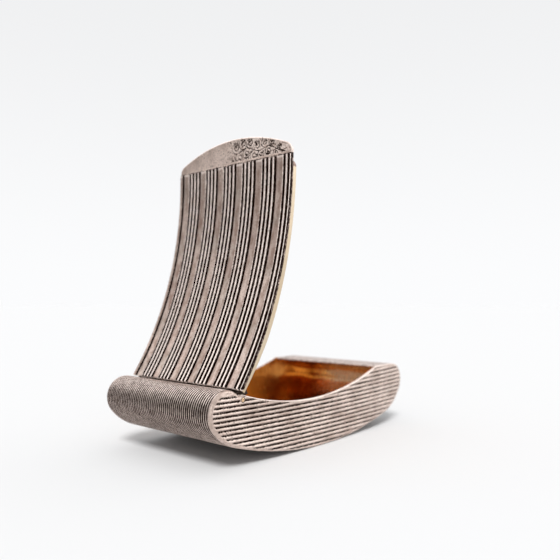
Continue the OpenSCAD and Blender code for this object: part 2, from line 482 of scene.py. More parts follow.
# Noise scales, in features per metre
CLOUDS = 110
FADED_AREAS = 170
PATCHES = 420
SCRATCHES = 900
SPECKLE = 2600
PITS = 1500
REDDENED = 48
WAVES = 55
UNEVEN = 90
RIPPLES = 150
STREAKS = 600

# Depths of bumps, in metres
SCRATCH_DEPTH = 0.00005
SPECKLE_DEPTH = 0.00006
PIT_DEPTH = 0.00004
WAVE_DEPTH = 0.0022
RIPPLE_DEPTH = 0.0004
STREAK_DEPTH = 0.00001

# Where the inner gilding's painted amber bounce light ends, and where its painted highlight lies, in metres
BOUNCE_AMBER_X = (0.016, 0.027)
HIGHLIGHT_X = (0.030, 0.037)
HIGHLIGHT_Y = (0.003, 0.014)
HIGHLIGHT_Z = (0.005, 0.0095)
BOUNCE_AMBER_MATT = 0.75
HIGHLIGHT_MATT = 0.4


def silver(name, light=SATIN, dark=TARNISH, worn=WORN, cloud=(0.35, 0.7), pitting=0.5, mottle=0.6,
           grain=(1, 1, 1), rough=0.4, ragged=0.22, scuffed=0.45, faded=0.0):
    """Worn silver: oxide in the cavities, bright edges that are partly worn and partly a painted highlight,
    clouds of tarnish, pits and fine scratches.
    """
    s = Shader(name)
    clouds = s.noise(CLOUDS, 5.0, roughness=0.6)
    patches = s.noise(PATCHES, 3.0, roughness=0.6)
    speckle = s.noise(SPECKLE, 3.0)
    scratches = s.noise(SCRATCHES, 4.0, grain)
    colour = s.mix(s.ramp(clouds, *cloud), light, dark)
    colour = s.mix(s.ramp(s.noise(FADED_AREAS, 3.0), 0.45, 0.7, 0, faded), colour, FADED)
    colour = s.mix(s.ramp(patches, 0.5, 0.72, 0, 0.5), colour, dark)
    colour = s.mix(s.ramp(scratches, 0.45, 0.75, 0, 0.35), colour, dark)
    colour = s.mix(s.ramp(speckle, 0.46, 0.68, 0, mottle), colour, dark)
    wear_and_sheen_share = s.maths("SUBTRACT", s.mark("wear_and_sheen"), s.ramp(scratches, 0.4, 0.75, 0, scuffed))
    colour = s.mix(s.ramp(wear_and_sheen_share, 0.1, 0.9, 0, 0.95), colour, worn)
    pit = s.ramp(s.pits(PITS), 0.12, 0.3, 1, 0)
    pit = s.maths("MULTIPLY", pit, s.ramp(speckle, 0.45, 0.6, 0, pitting))
    colour = s.mix(pit, colour, OXIDE)
    depth = s.maths("MULTIPLY", s.mark("cavity"), s.ramp(patches, 0.35, 0.6, 1.0, 0.8))
    depth = s.maths("ADD", depth, s.ramp(speckle, 0.3, 0.7, -ragged, ragged))
    depth = s.ramp(depth, 0.25, 0.8)
    colour = s.mix(depth, colour, OXIDE)
    uneven = s.maths("ADD", depth, s.ramp(clouds, 0.3, 0.7, -0.1, 0.1))
    roughness = s.ramp(uneven, 0, 1, rough, rough + 0.25)
    normal = s.bump(scratches, SCRATCH_DEPTH, 0.6)
    normal = s.bump(speckle, SPECKLE_DEPTH, 0.8, normal)
    normal = s.bump(pit, -PIT_DEPTH, 0.7, normal)
    return s.finish(colour, roughness, normal)


def gilt(name, light=rgba(0.90, 0.54, 0.20), dark=rgba(0.36, 0.155, 0.035), rough=0.2, painted_light=0.0):
    """Polished gilding with soft waves, darker where it has reddened.

    The last argument is the share of painted light inside the case: a saturated amber, mostly matt, that
    paints warm bounced light from the hinge as far as the amber's end along x, then polished, with a pale
    painted highlight up the far end.
    """
    s = Shader(name)
    clouds = s.noise(REDDENED, 4.0, roughness=0.5)
    streaks = s.noise(STREAKS, 3.0, (1, 5, 1))
    colour = s.mix(s.ramp(clouds, 0.32, 0.62), light, dark)
    colour = s.mix(s.ramp(s.mark("cavity"), 0.45, 0.9), colour, OXIDE)
    place = s.add("ShaderNodeSeparateXYZ", {0: s.coords})
    # Painted light: amber bounced light from the hinge end, and a pale painted highlight low in the far end
    uneven = s.ramp(s.noise(UNEVEN, 3.0), 0.25, 0.7, 0.55, 1.0)
    bounce_amber = s.maths("MULTIPLY", s.ramp(place.outputs[0], *BOUNCE_AMBER_X, painted_light, 0), uneven)
    painted_highlight = s.ramp(place.outputs[0], *HIGHLIGHT_X, 0, painted_light)
    painted_highlight = s.maths("MULTIPLY", painted_highlight, s.ramp(place.outputs[1], *HIGHLIGHT_Y, 1, 0))
    painted_highlight = s.maths("MULTIPLY", painted_highlight, s.ramp(place.outputs[2], *HIGHLIGHT_Z, 0, 1))
    colour = s.mix(bounce_amber, colour, BOUNCE_AMBER)
    colour = s.mix(painted_highlight, colour, PAINTED_HIGHLIGHT_GOLD)
    matt = s.maths("ADD", s.maths("MULTIPLY", bounce_amber, BOUNCE_AMBER_MATT), s.maths("MULTIPLY", painted_highlight, HIGHLIGHT_MATT))
    roughness = s.ramp(streaks, 0.3, 0.8, rough, rough + 0.12)
    roughness = s.maths("ADD", roughness, s.maths("MULTIPLY", painted_highlight, 0.08))
    normal = s.bump(s.noise(WAVES, 2.0), WAVE_DEPTH, 0.7)
    normal = s.bump(s.noise(RIPPLES, 2.0), RIPPLE_DEPTH, 0.6, normal)
    normal = s.bump(streaks, STREAK_DEPTH, 0.4, normal)
    return s.finish(colour, roughness, normal, s.maths("SUBTRACT", 1.0, matt))


reeded_silver = silver(
    "reeded_silver", light=rgba(0.30, 0.225, 0.195), dark=rgba(0.13, 0.095, 0.08),
    worn=rgba(1.0, 0.85, 0.775), cloud=(0.4, 0.75), pitting=0.7, ragged=0.1, scuffed=0.25)
grooved_silver = silver(
    "grooved_silver", light=rgba(0.80, 0.66, 0.585), dark=rgba(0.44, 0.335, 0.285),
    worn=rgba(0.87, 0.76, 0.69), pitting=0.8, mottle=0.75, grain=(0.15, 1, 1))
banded_silver = silver("banded_silver", mottle=0.8, grain=(1, 1, 0.3), faded=0.75)
engraved_silver = silver(
    "engraved_silver", light=rgba(0.94, 0.77, 0.68), dark=rgba(0.52, 0.395, 0.335), pitting=0.8, mottle=0.85)
# The hinge parts are near-black: painted shade for the dark gap under the lid
hinge_silver = silver(
    "hinge_silver", light=rgba(0.10, 0.075, 0.062), dark=rgba(0.04, 0.03, 0.024), rough=0.6)
tip_silver = silver("tip_silver")
inner_gilt = gilt("inner_gilt", rough=0.17, painted_light=1.0)
flange_gilt = gilt("flange_gilt", light=rgba(0.70, 0.58, 0.425), dark=rgba(0.60, 0.475, 0.33), rough=0.35)
pin_brass = gilt("pin_brass", light=rgba(0.95, 0.74, 0.52), dark=rgba(0.75, 0.48, 0.27), rough=0.3)

# ----------------------------
# The wrapped strip: reeded outside, gilt inside
# ----------------------------


def reed_columns():
    """Places across the strip, and how deep the reeding cuts at each, from 0 to 1."""
    reach = SEAM_Y + SHEET - BEAD_W
    count = int(2 * reach / REED_PITCH)
    start = -count * REED_PITCH / 2
    y = [start + (k + p) * REED_PITCH for k in range(count) for p, _ in REED_PROFILE] + [-start]
    cut = [c for _ in range(count) for _, c in REED_PROFILE] + [1.0]
    right = [-start + e for e in BEAD_ROWS] + [SEAM_Y]
    y = [-v for v in reversed(right)] + y + right
    cut = [0.0] * (len(right) - 1) + [0.3] + cut + [0.3] + [0.0] * (len(right) - 1)
    return np.array(y), np.array(cut)


def lip_rows(point, normal, tangent):
    """Places of the rows that round the end of a sheet, and the share of the relief each keeps."""
    half = SHEET / 2
    count = 5
    for k in range(1, count + 1):
        a = math.pi * k / (count + 1)
        yield point - normal * half * (1 - math.cos(a)) + tangent * half * math.sin(a), math.cos(a)


def make_wrap():
    """The strip from the hinge line to the land's edge: reeded outside, gilt inside."""
    start = direction(PIN - HINGE_END) + WRAP_STOP
    path, normals = side_path(start, 1.0)
    lip = SHEET / 2
    ahead = np.linalg.norm(path - path[0], axis=1) > lip * 0.9
    behind = np.linalg.norm(path - path[-1], axis=1) > lip * 0.9
    path, normals = path[ahead & behind], normals[ahead & behind]
    first_t = path[0] - path[1]
    first_t /= np.linalg.norm(first_t)
    last_t = path[-1] - path[-2]
    last_t /= np.linalg.norm(last_t)
    rows = [(p, n, 1.0) for p, n in zip(path, normals)]
    before = [(p, normals[0], c) for p, c in lip_rows(path[0], normals[0], first_t)]
    after = [(p, normals[-1], c) for p, c in lip_rows(path[-1], normals[-1], last_t)]
    rows = before[::-1] + rows + after
    y, cut = reed_columns()
    points, cavity, wear_and_sheen = [], [], []
    for p, n, c in rows:
        # The reeding is worn away on the land, and a little on the top of the hinge end
        facing_up = float(smoothstep(*FACING_UP, n[1]))
        on_top = facing_up * (WORN_AWAY_LAND if p[0] > 0 else WORN_AWAY_HINGE)
        depth = REED_DEPTH * (1 - on_top) * max(c, 0)
        inset = edge_inset(p[0], p[1], y) * max(c, 0) + cut * depth
        points.append(np.stack([p[0] - n[0] * inset, y, p[1] - n[1] * inset], axis=1))
        cavity.append(cut * (1 - 0.8 * on_top) * max(c, 0))
        # Crests are worn bright; those facing up are brighter still, partly from wear and partly as a
        # painted highlight of the light from above
        crest = (1 - cut) * (CREST_WEAR + CREST_WEAR_AND_SHEEN_TOP * float(smoothstep(0.1, 0.8, n[1])))
        if p[0] > LAND_X:
            crest = crest + (LAND_WEAR - crest) * facing_up
        wear_and_sheen.append(np.where(np.abs(y) > HALF_W - BEAD_W, BEAD_WEAR, crest))
    outer = np.concatenate(points)
    columns = len(y)
    # The swelling inside the far end, which catches the light
    fill = END_FILL * np.exp(-((path[:, 1] - END_FILL_Z) / END_FILL_H) ** 2) * (path[:, 0] > FAR_END[0])
    under = path - normals * (SHEET + fill)[:, None]
    inner = np.array([[p[0], v, p[1]] for p in under for v in (y[0], y[-1])])
    count = len(rows)
    base = len(outer)
    faces = grid_faces(count, columns)
    gilded = [0] * len(faces)
    inner_faces = grid_faces(len(under), 2, base)
    faces += inner_faces
    gilded += [1] * len(inner_faces)
    skip = len(before)
    for k in range(len(under) - 1):
        r = skip + k
        faces.append([r * columns, (r + 1) * columns, base + 2 * k + 2, base + 2 * k])
        faces.append([(r + 1) * columns - 1, (r + 2) * columns - 1, base + 2 * k + 3, base + 2 * k + 1])
        gilded += [0, 0]
    last = len(under) - 1
    far_end = [(count - 1) * columns + j for j in range(columns)]
    faces.append(list(range(columns)) + [base + 1, base])
    faces.append(far_end + [base + 2 * last + 1, base + 2 * last])
    gilded += [1, 1]
    for side in (0, columns - 1):
        shift = 0 if side == 0 else 1
        faces.append([r * columns + side for r in range(skip + 1)] + [base + shift])
        faces.append([r * columns + side for r in range(skip + last, count)] + [base + 2 * last + shift])
        gilded += [0, 0]
    zeros = np.zeros(len(inner))
    marks = {"cavity": np.r_[np.concatenate(cavity), zeros], "wear_and_sheen": np.r_[np.concatenate(wear_and_sheen), zeros]}
    piece("wrap_strip", np.concatenate([outer, inner]), faces, "base", "body_wrap",
          [reeded_silver, inner_gilt], marks, gilded)


# ----------------------------
# The side walls: lengthwise grooves, rounded border, thin concave rim
# ----------------------------


def distance_to(points, line):
    """Distance of each point to a dense line of points, worked out in parts to save memory."""
    out = np.empty(len(points))
    part = 2000
    for k in range(0, len(points), part):
        chunk = points[k:k + part]
        out[k:k + part] = np.sqrt(((chunk[:, None] - line[None]) ** 2).sum(-1).min(1))
    return out


def inside_polygon(points, polygon):
    """Even-odd test of points against a closed polygon."""
    x, z = points[:, 0][:, None], points[:, 1][:, None]
    a, b = polygon, np.roll(polygon, -1, axis=0)
    crosses = (a[:, 1] > z) != (b[:, 1] > z)
    with np.errstate(divide="ignore", invalid="ignore"):
        at = a[:, 0] + (z - a[:, 1]) * (b[:, 0] - a[:, 0]) / (b[:, 1] - a[:, 1])
    return (crosses & (x < at)).sum(1) % 2 == 1


def groove_height(k, x):
    """Height of the k-th groove of a side wall at x; the lines sag a little and spread to the far end."""
    ref_x, ref_z = PIN[0] + GROOVE_REF_X, PIN[1] - GROOVE_REF_DOWN + GROOVE_PITCH * k
    lowest_x = PIN[0] + GROOVE_LOWEST - GROOVE_LOWEST_STEP * k
    bend = ((x - lowest_x) ** 2 - (ref_x - lowest_x) ** 2) / (2 * GROOVE_R)
    return ref_z + bend


def groove_cut(points):
    """Depth of the grooves at [x, z] points, from 0 to 1."""
    cut = np.zeros(len(points))
    for k in range(-GROOVES_BELOW, GROOVES_ABOVE):
        off = np.abs(points[:, 1] - groove_height(k, points[:, 0]))
        cut = np.maximum(cut, 1 - smoothstep(GROOVE_HALF - GROOVE_SLOPE, GROOVE_HALF, off))
    return cut


def triangulate(points, edges):
    """Constrained triangulation; returns its own points, which may include crossings, and triangles."""
    made = delaunay_2d_cdt([Vector(p) for p in points], edges, [], 0, 1e-6)
    return np.array([tuple(v) for v in made[0]]), [list(f) for f in made[2]]


def make_wall(name, side, node):
    """A side wall, near (side -1) or far (side 1): grooved outside, gilt inside, bored for the pin."""
    ear_a0 = direction(arcs_meet(PIN, EAR_R, RIM_C, RIM_R, -1) - PIN)
    joins = [arcs_meet(PIN, EAR_R, HINGE_END, END_R, s) for s in (-1, 1)]
    top_join = max(joins, key=lambda p: p[1])
    ear_a1 = direction(top_join - PIN)
    start = direction(top_join - HINGE_END)
    path, normals = side_path(start + 0.5, WALL_STEP)
    dense, _ = side_path(start, 0.2)
    radius = edge_radius(path[:, 0], path[:, 1], side)
    seam = edge_inset(path[:, 0], path[:, 1], side * SEAM_Y)
    border = path - normals * seam[:, None]
    rim_a = np.linspace(direction(np.array([LAND_X, CASE_H]) - RIM_C),
                        direction(PIN + EAR_R * unit(ear_a0) - RIM_C), RIM_POINTS)[1:-1]
    rim = RIM_C + RIM_R * unit(rim_a)
    ear = PIN + EAR_R * unit(np.linspace(ear_a0, ear_a1, EAR_POINTS))
    outline = np.concatenate([border, rim, ear])
    hole = PIN + HOLE_R * unit(np.linspace(0, TURN, 33)[:-1])
    rim_line = np.concatenate([
        RIM_C + RIM_R * unit(np.linspace(rim_a[0] + 0.2, rim_a[-1] - 0.2, 900)),
        PIN + EAR_R * unit(np.linspace(ear_a0, ear_a1, 60)),
    ])
    points, edges = [], []

    def add_line(line, closed=False):
        first = sum(len(p) for p in points)
        points.append(line)
        n = len(line)
        edges.extend((first + i, first + i + 1) for i in range(n - 1))
        if closed:
            edges.append((first + n - 1, first))

    add_line(outline, True)
    add_line(hole, True)
    for r in (PIN_R + 0.08, PIN_R + 0.2):
        ring = PIN + r * unit(np.linspace(0, TURN, 37)[:-1])
        points.append(ring[(distance_to(ring, dense) > 0.2) & (distance_to(ring, rim_line) > 0.05)])
    for share in (0.12, 0.28, 0.5, 0.75, 1.0, 1.3):
        line = path - normals * (seam + (radius - seam) * share)[:, None]
        points.append(line[distance_to(line, rim_line) > 0.3])
    for d in (0.05, RIM_ROUND):
        points.append(RIM_C + (RIM_R + d) * unit(rim_a[2:-2]))
    fine_to = PIN[0] + WALL_FINE_L
    x = np.r_[np.arange(-CASE_L / 2, fine_to, WALL_STEP_FINE), np.arange(fine_to, CASE_L / 2, WALL_STEP)]
    for k in range(-GROOVES_BELOW, GROOVES_ABOVE):
        for o in GROOVE_ROWS:
            points.append(np.stack([x + 0.1 * (k % 3), groove_height(k, x) + o], axis=1))
    fixed = len(outline) + len(hole)
    cloud = np.concatenate(points)
    keep = np.ones(len(cloud), bool)
    free = cloud[fixed:]
    ok = inside_polygon(free, outline) & (np.linalg.norm(free - PIN, axis=1) > PIN_R + 0.05)
    ok &= distance_to(free, outline) > 0.03
    keep[fixed:] = ok
    flat, faces = triangulate(cloud[keep], edges)
    centres = flat[np.array(faces)].mean(1)
    good = inside_polygon(centres, outline) & (np.linalg.norm(centres - PIN, axis=1) > PIN_R)
    faces = [f for f, g in zip(faces, good) if g]
    # Relief: rounded edges, then grooves that fade out at the edges and round the pin
    d_side = distance_to(flat, dense)
    d_rim = distance_to(flat, rim_line)
    r = edge_radius(flat[:, 0], flat[:, 1], side)
    short = np.clip(r - d_side, 0, r)
    drop = r - np.sqrt(r * r - short * short)
    short = np.clip(RIM_ROUND - d_rim, 0, RIM_ROUND)
    drop = np.maximum(drop, RIM_ROUND - np.sqrt(RIM_ROUND ** 2 - short ** 2))
    by_hinge = 1 - smoothstep(*HINGE_FADE_X, flat[:, 0])
    plain = PLAIN_EDGE + PLAIN_EDGE_HINGE * by_hinge
    cut = groove_cut(flat) * smoothstep(plain, plain + PLAIN_FADE, d_side) * smoothstep(*RIM_FADE, d_rim)
    cut *= smoothstep(*PIN_SPOT, np.linalg.norm(flat - PIN, axis=1))
    waver = 1 + GROOVE_WAVER * rough(along_y(flat, side * HALF_W), 3.0)
    drop = np.minimum(drop + cut * GROOVE_DEPTH * waver, SHEET)
    # The border meets the strip's edge. The rim and the hole get a second, inner row
    on_border = distance_to(flat, border) < 1e-4
    drop[on_border] = SHEET
    front = along_y(flat, side * (HALF_W - drop))
    used = {}
    for f in faces:
        for a, b in zip(f, f[1:] + f[:1]):
            key = (min(a, b), max(a, b))
            used[key] = used.get(key, 0) + 1
    rim_edges = [e for e, n in used.items() if n == 1]
    rim_verts = sorted({v for e in rim_edges for v in e})
    back_index = {}
    back = []
    for v in rim_verts:
        if on_border[v]:
            back_index[v] = v
        else:
            back_index[v] = len(flat) + len(back)
            back.append([flat[v][0], side * SEAM_Y, flat[v][1]])
    local = {v: i for i, v in enumerate(rim_verts)}
    back_flat, back_faces = triangulate(flat[rim_verts], [(local[a], local[b]) for a, b in rim_edges])
    centres = back_flat[np.array(back_faces)].mean(1)
    good = inside_polygon(centres, outline) & (np.linalg.norm(centres - PIN, axis=1) > PIN_R)
    order = [rim_verts[int(np.argmin(((flat[rim_verts] - p) ** 2).sum(1)))] for p in back_flat]
    all_faces = list(faces)
    gilded = [0] * len(faces)
    for f, g in zip(back_faces, good):
        if g:
            all_faces.append([back_index[order[v]] for v in f])
            gilded.append(1)
    for a, b in rim_edges:
        quad = [a, b, back_index[b], back_index[a]]
        quad = [v for i, v in enumerate(quad) if v not in quad[:i]]
        if len(quad) > 2:
            all_faces.append(quad)
            gilded.append(0)
    both = np.concatenate([front, np.array(back)])
    wear_and_sheen = np.maximum(smoothstep(0.5, 0.15, d_side) * 0.62, smoothstep(0.2, 0.08, d_rim) * 0.9)
    hinge_ring = smoothstep(1.1, 0.5, d_side) * by_hinge
    wear_and_sheen = np.maximum(wear_and_sheen, 0.5) - 0.3 * hinge_ring
    pad = np.zeros(len(back))
    shade = cut * (0.88 - 0.12 * smoothstep(-20, 30, flat[:, 0]))
    marks = {"cavity": np.r_[shade, pad], "wear_and_sheen": np.r_[wear_and_sheen * (1 - cut), pad]}
    piece(name, both, all_faces, "base", node, [grooved_silver, inner_gilt], marks, gilded)


# ----------------------------
# The lid: bands and ribs on a curved sheet
# ----------------------------


def on_lid(s, height, y):
    """Points of the closed lid: s along its inner arc from the hinge edge, height above that arc."""
    a = LID_A0 + np.degrees(np.asarray(s, float) / LID_R)
    p = RIM_C + (LID_R - np.asarray(height, float))[..., None] * unit(a)
    return np.stack([p[..., 0], np.broadcast_to(y, p.shape[:-1]), p[..., 1]], axis=-1)


LID_LENGTH = math.radians(LID_A1 - LID_A0) * LID_R


def lid_strips():
    """Raised strips across the lid, as [start, end], from its far edge to its near edge."""
    pitch = BAND_W + RIBS_PER_GROUP * RIB_W + (RIBS_PER_GROUP + 1) * GAP_W
    strips = [(0.0, FAR_MARGIN)]
    at = FAR_MARGIN + GAP_W
    while at < 2 * HALF_W:
        strips.append((at, at + BAND_W))
        rib = at + BAND_W + GAP_W
        for _ in range(RIBS_PER_GROUP):
            strips.append((rib, rib + RIB_W))
            rib += RIB_W + GAP_W
        at += pitch
    return [(a, min(b, 2 * HALF_W)) for a, b in strips if a < 2 * HALF_W - 0.1]


def lid_columns():
    """Across the lid: place from the far edge, height of the relief from 0 to 1, and cavity."""
    rows = []
    strips = lid_strips()
    for n, (a, b) in enumerate(strips):
        edge = BAND_SIDE if b - a > BAND_FROM else RIB_SIDE
        left = [(a + e, h, c) for e, h, c in edge]
        right = [(b - e, h, c) for e, h, c in reversed(edge)]
        rows += left + [((a + b) / 2, 1.0, 0.0)] + right
        if n + 1 < len(strips):
            nxt = strips[n + 1][0]
            rows += [(b + 0.07, 0.1, 1.0), ((b + nxt) / 2, 0.0, 1.0), (nxt - 0.07, 0.1, 1.0)]
    return np.array(rows)


def make_lid():
    """The lid's plate, gilt inside, with a lip at the hinge edge and its strips ending before the tip."""
    columns = lid_columns()[::-1]
    y = HALF_W - columns[:, 0]
    is_crest = (columns[:, 1] > 0.5) & (columns[:, 1] < 0.8)
    is_raised = columns[:, 1] > 0.5
    is_rib = np.zeros(len(y), bool)
    for a, b in lid_strips():
        if b - a < RIB_UP_TO:
            is_rib |= (columns[:, 0] >= a) & (columns[:, 0] <= b)
    rib_top = is_rib * (columns[:, 1] > 0.8)
    start = [0.0, 0.06, 0.12, 0.18, 0.24, 0.4]
    body = list(np.linspace(1.0, LID_LENGTH - 1.0, LID_ROWS))
    tip = [LID_LENGTH - v for v in (0.5, 0.34, 0.26, 0.16, 0.06, 0.0)]
    s_rows = np.array(start + body + tip)
    points, cavity, wear_and_sheen = [], [], []
    for s in s_rows:
        lip_share = 1 - float(smoothstep(0.0, LID_LIP, s))
        end_share = float(smoothstep(LID_LENGTH - 0.16, LID_LENGTH - 0.34, s))
        tip_highlight = float(smoothstep(LID_LENGTH - 1.1, LID_LENGTH - 0.4, s))
        relief = columns[:, 1] * end_share
        round_off = LID_EDGE_R * (1 - math.sqrt(max(0.0, 1 - (1 - min(s / LID_EDGE_R, 1)) ** 2)))
        height = LID_SHEET + RIB_H * relief - round_off
        reach = LID_REACH * (1 - min(s, 1.0))
        points.append(on_lid(np.full(len(y), s - reach), height, y))
        dark = columns[:, 2] * (1 - 0.9 * lip_share) * end_share + (1 - end_share) * 0.7
        cavity.append(np.clip(dark, 0, 1))
        # Rib tops are worn bright and carry a painted highlight; the lip is brightened; the strips' last
        # millimetre before the crescent gets a painted highlight where their ends catch the light
        bright = BAND_WEAR + is_crest * BAND_EDGE_WEAR + rib_top * BRIGHT_WEAR_AND_HIGHLIGHT
        bright = bright + (lip_share + tip_highlight * is_raised) * BRIGHT_WEAR_AND_HIGHLIGHT
        wear_and_sheen.append(np.clip(bright, 0, 1))
    outer = np.concatenate(points)
    n = len(y)
    count = len(s_rows)
    inner = on_lid(np.repeat(s_rows, 2), np.zeros(2 * count), np.tile([y[0], y[-1]], count))
    base = len(outer)
    faces = grid_faces(count, n)
    gilded = [0] * len(faces)
    under = grid_faces(count, 2, base)
    faces += under
    gilded += [1] * len(under)
    for r in range(count - 1):
        faces.append([r * n, (r + 1) * n, base + 2 * r + 2, base + 2 * r])
        faces.append([(r + 1) * n - 1, (r + 2) * n - 1, base + 2 * r + 3, base + 2 * r + 1])
        gilded += [0, 0]
    for r in (0, count - 1):
        faces.append([r * n + j for j in range(n)] + [base + 2 * r + 1, base + 2 * r])
        gilded.append(0)
    # The plate's own edges are drawn darker towards the inside
    darker_inside = np.full(len(inner), 0.6)
    darker_inside[:2] = 0.0
    marks = {
        "cavity": np.r_[np.concatenate(cavity), darker_inside],
        "wear_and_sheen": np.r_[np.concatenate(wear_and_sheen), np.full(len(inner), 0.4)],
    }
    piece("lid_bands", opened(np.concatenate([outer, inner])), faces, "lid", "lid_plate",
          [banded_silver, inner_gilt], marks, gilded)


# ----------------------------
# The thumb-piece: a crescent with generic engraved scrolls on its near part
# ----------------------------


def crescent_edge(y):
    """How far the crescent reaches past the chord at y."""
    rise = THUMB_L - THUMB_SHOULDER
    r = (HALF_W ** 2 + rise ** 2) / (2 * rise)
    arc = THUMB_L - r + np.sqrt(r * r - y * y) - THUMB_LEAN * y / HALF_W
    corner = np.where(np.asarray(y) < 0, NEAR_CORNER, FAR_CORNER)
    past = np.clip(np.abs(y) - (HALF_W - corner), 0, corner)
    return arc - (corner - np.sqrt(corner ** 2 - past ** 2)) * 0.9


def scroll_strokes():
    """Engraved strokes in the crescent's own plane: a wavy stem with spirals and leaves on both sides."""
    strokes = []
    stem_y = np.linspace(-HALF_W + 1.6, STEM_END, 160)
    height = STEM_AT * crescent_edge(stem_y)
    strokes.append(np.stack([stem_y, height + STEM_WAVE_H * np.sin(stem_y * STEM_WAVE)], axis=1))
    turn = np.linspace(0, 1, 50)
    along = np.linspace(0, 1, 14)
    for k, y0 in enumerate(np.arange(-HALF_W + 2.2, STEM_END, SCROLL_STEP)):
        side = 1 if k % 2 else -1
        u0 = STEM_AT * float(crescent_edge(y0)) + STEM_WAVE_H * math.sin(y0 * STEM_WAVE)
        size = SCROLL_SIZE * float(crescent_edge(y0))
        radius = size * (1 - 0.85 * turn)
        angle = side * (math.pi / 2 - SCROLL_TURNS * TURN / DEGREES_PER_RADIAN * turn)
        centre = np.array([y0 + 0.3, u0 + side * size * 1.02])
        strokes.append(centre + radius[:, None] * np.stack([np.cos(angle), -np.sin(angle)], axis=1))
        for lean in (-0.9, 0.0, 0.9):
            tip = centre + np.array([0.55 * lean, side * size * (1.0 - 0.2 * abs(lean))])
            leaf = centre * (1 - along[:, None]) + tip * along[:, None]
            leaf[:, 0] += np.sin(math.pi * along) * 0.14 * lean
            strokes.append(leaf)
    return strokes


def make_thumb_piece():
    """The crescent, engraved on its near part and plain on its far part."""
    columns = THUMB_COLUMNS
    y = np.linspace(-HALF_W, HALF_W, columns)
    share = np.r_[np.linspace(0, 0.94, THUMB_ROWS), 0.96, 0.975, 0.985, 0.993, 0.998, 1.0]
    u = share[:, None] * crescent_edge(y)[None, :]
    flat = np.stack([np.broadcast_to(y, u.shape).ravel(), u.ravel()], axis=1)
    dense_y = np.linspace(-HALF_W, HALF_W, 1200)
    dense = np.stack([dense_y, crescent_edge(dense_y)], axis=1)
    d_edge = np.minimum(distance_to(flat, dense), HALF_W - np.abs(flat[:, 0]))
    short = np.clip(THUMB_ROUND - d_edge, 0, THUMB_ROUND)
    drop = THUMB_ROUND - np.sqrt(THUMB_ROUND ** 2 - short ** 2)
    # A crease along the chord, where the bands end
    crease = 1 - smoothstep(0.0, CREASE_W, flat[:, 1])
    stroke_d = distance_to(flat, np.concatenate(scroll_strokes()))
    part = smoothstep(5.0, -3.0, flat[:, 0]) * smoothstep(0.15, 0.4, d_edge)
    part *= smoothstep(0.4, 0.6, flat[:, 1])
    cut = np.clip(1.4 - stroke_d / STROKE_W, 0, 1) * part
    rng = np.random.default_rng(11)
    dots = np.stack([rng.uniform(-HALF_W, 3.4, DOTS), rng.uniform(0.2, THUMB_L, DOTS)], axis=1)
    stipple = np.clip(1.2 - distance_to(flat, dots) / DOT_R, 0, 1) * part * smoothstep(0.08, 0.2, stroke_d)
    cut = np.maximum(cut, stipple)
    top = LID_SHEET - drop - CREASE_DEPTH * crease - STROKE_DEPTH * cut
    top = np.maximum(top, LID_SHEET - THUMB_ROUND)
    count = len(share)
    outer = on_lid(LID_LENGTH + flat[:, 1], top, flat[:, 0])
    inner = on_lid(LID_LENGTH + flat[:, 1], np.zeros(len(flat)), flat[:, 0])
    base = len(outer)
    front = grid_faces(count, columns)
    faces = front + grid_faces(count, columns, base)
    # The outline, once round the grid
    loop = list(range(columns))
    loop += [r * columns + columns - 1 for r in range(1, count)]
    loop += [(count - 1) * columns + j for j in range(columns - 2, -1, -1)]
    loop += [r * columns for r in range(count - 2, 0, -1)]
    gilded = [0] * len(front) + [1] * len(front)
    for a, b in zip(loop, loop[1:] + loop[:1]):
        faces.append([a, b, base + b, base + a])
        gilded.append(0)
    cavity = np.maximum(np.maximum(cut, 0.2 * part), crease * 0.9)
    wear_and_sheen = np.maximum(smoothstep(0.4, 0.12, d_edge) * 0.7, 0.7 * part * (1 - cut))
    under = np.full(base, 0.3)
    marks = {"cavity": np.r_[cavity, under], "wear_and_sheen": np.r_[wear_and_sheen, under]}
    piece("thumb_crescent", opened(np.concatenate([outer, inner])), faces, "lid", "thumb_piece",
          [engraved_silver, inner_gilt], marks, gilded)


# ----------------------------
# The gilt flanges under the lid
# ----------------------------


def side_flange(name, s_values, depth, y0, y1, node):
    """A thin upright strip under the lid, from y0 to y1, with its depth given along s."""
    soft = FLANGE_SOFT
    # Place across the strip, and how far down: 1 where the rounding starts, 1.6 at the lowest
    profile = [(0.0, 0.0), (0.0, 1.0), (soft * 0.3, 1.3), (soft, 1.6)]
    profile += [(1 - soft, 1.6), (1 - soft * 0.3, 1.3), (1.0, 1.0), (1.0, 0.0)]
    width = y1 - y0
    points = []
    for s, d in zip(s_values, depth):
        for v, level in profile:
            if level <= 1:
                down = level * (d - soft)
            else:
                down = d - soft + soft * (level - 1) / 0.6
            points.append(on_lid(np.array([s]), np.array([-max(down, 0.0)]), y0 + v * width)[0])
    faces = closed_strip(len(s_values), len(profile))
    points = opened(np.array(points))
    # The gilding is rubbed off the tip
    tip = [int(s_values[f[0] // len(profile)] > s_values[-1] - FLANGE_TIP) for f in faces]
    marks = {"cavity": np.full(len(points), 0.42), "wear_and_sheen": np.full(len(points), 0.1)}
    piece(name, points, faces, "lid", node, [flange_gilt, tip_silver], marks, tip)


